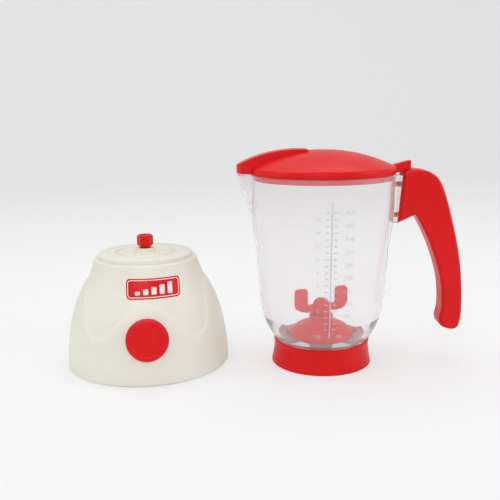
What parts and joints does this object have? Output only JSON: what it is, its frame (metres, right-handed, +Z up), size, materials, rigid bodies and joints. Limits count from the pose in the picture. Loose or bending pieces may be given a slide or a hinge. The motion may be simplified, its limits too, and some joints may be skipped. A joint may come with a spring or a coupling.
{
  "type": "toy blender",
  "caption": "Toy blender: bell-shaped battery base with a round push button and drive coupling, and a clear spouted jug with collar, blades, handle and lift-off lid.",
  "frame": {"origin": "on the base's drive axis at the table plane, on the base's flat foot", "axes": "+Z up along the drive axis, -Y towards the base's button, +X towards the jug that stands beside the base"},
  "size_m": [0.3157, 0.1476, 0.1712],
  "materials": {
    "cream_plastic": "glossy moulded plastic",
    "red_plastic": "glossy moulded plastic",
    "clear_plastic": "clear moulded plastic",
    "grey_plastic": "matt moulded plastic",
    "white_plastic": "matt moulded plastic",
    "steel": "plated steel",
    "spring_steel": "nickel-plated wire",
    "cell_jacket": "printed jacket, plain",
    "brass": "bright brass"
  },
  "bodies": {
    "base": {"base_housing": "cream_plastic", "base_bottom": "cream_plastic", "battery_door": "cream_plastic", "base_screws": "steel", "door_screw": "steel", "battery_1": "cell_jacket", "battery_2": "cell_jacket", "contact_spring_1": "spring_steel", "contact_spring_2": "spring_steel", "contact_plates": "spring_steel", "motor_can": "steel", "motor_endcap": "grey_plastic", "motor_plate": "white_plastic", "plate_screws": "steel", "lower_bush": "white_plastic", "upper_bush": "white_plastic", "switch_body": "grey_plastic", "button_spring": "spring_steel"},
    "output": {"output_shaft": "steel", "drive_gear": "white_plastic", "drive_coupling": "red_plastic"},
    "motor_rotor": {"motor_shaft": "steel", "motor_pinion": "brass"},
    "button": {"button_cap": "red_plastic", "switch_plunger": "white_plastic"},
    "jug": {"jug": "clear_plastic", "jug_collar": "red_plastic", "blade_dome": "red_plastic", "blade_bush": "white_plastic", "handle_front": "red_plastic", "handle_rear": "red_plastic", "handle_screws": "steel"},
    "blades": {"blade_rotor": "red_plastic", "blade_shaft": "steel", "driven_coupling": "red_plastic"},
    "lid": {"lid": "red_plastic"}
  },
  "joints": [
    {"name": "output_spin", "type": "hinge", "parent": "base", "child": "output", "pos_m": [0, 0, 0.08], "axis": [0, 0, 1], "continuous": true},
    {"name": "motor_spin", "type": "hinge", "parent": "base", "child": "motor_rotor", "pos_m": [0, 0.018, 0.06], "axis": [0, 0, 1], "continuous": true},
    {"name": "button_press", "type": "slide", "parent": "base", "child": "button", "axis": [0, 0.9781, -0.2079], "range_m": [0, 0.003], "stiffness_N_per_m": 400, "springref_m": -0.002, "deforming": ["button_spring"]},
    {"name": "jug_lift", "type": "slide", "parent": "base", "child": "jug", "axis": [0, 0, 1], "range_m": [0, 0.12]},
    {"name": "blade_spin", "type": "hinge", "parent": "jug", "child": "blades", "pos_m": [0.1395, -0.0256, 0.03], "axis": [0, 0, 1], "continuous": true},
    {"name": "lid_lift", "type": "slide", "parent": "jug", "child": "lid", "axis": [0, 0, 1], "range_m": [0, 0.04]}
  ],
  "couplings": [
    {"joint": "motor_spin", "follows": "output_spin", "ratio": -3}
  ]
}
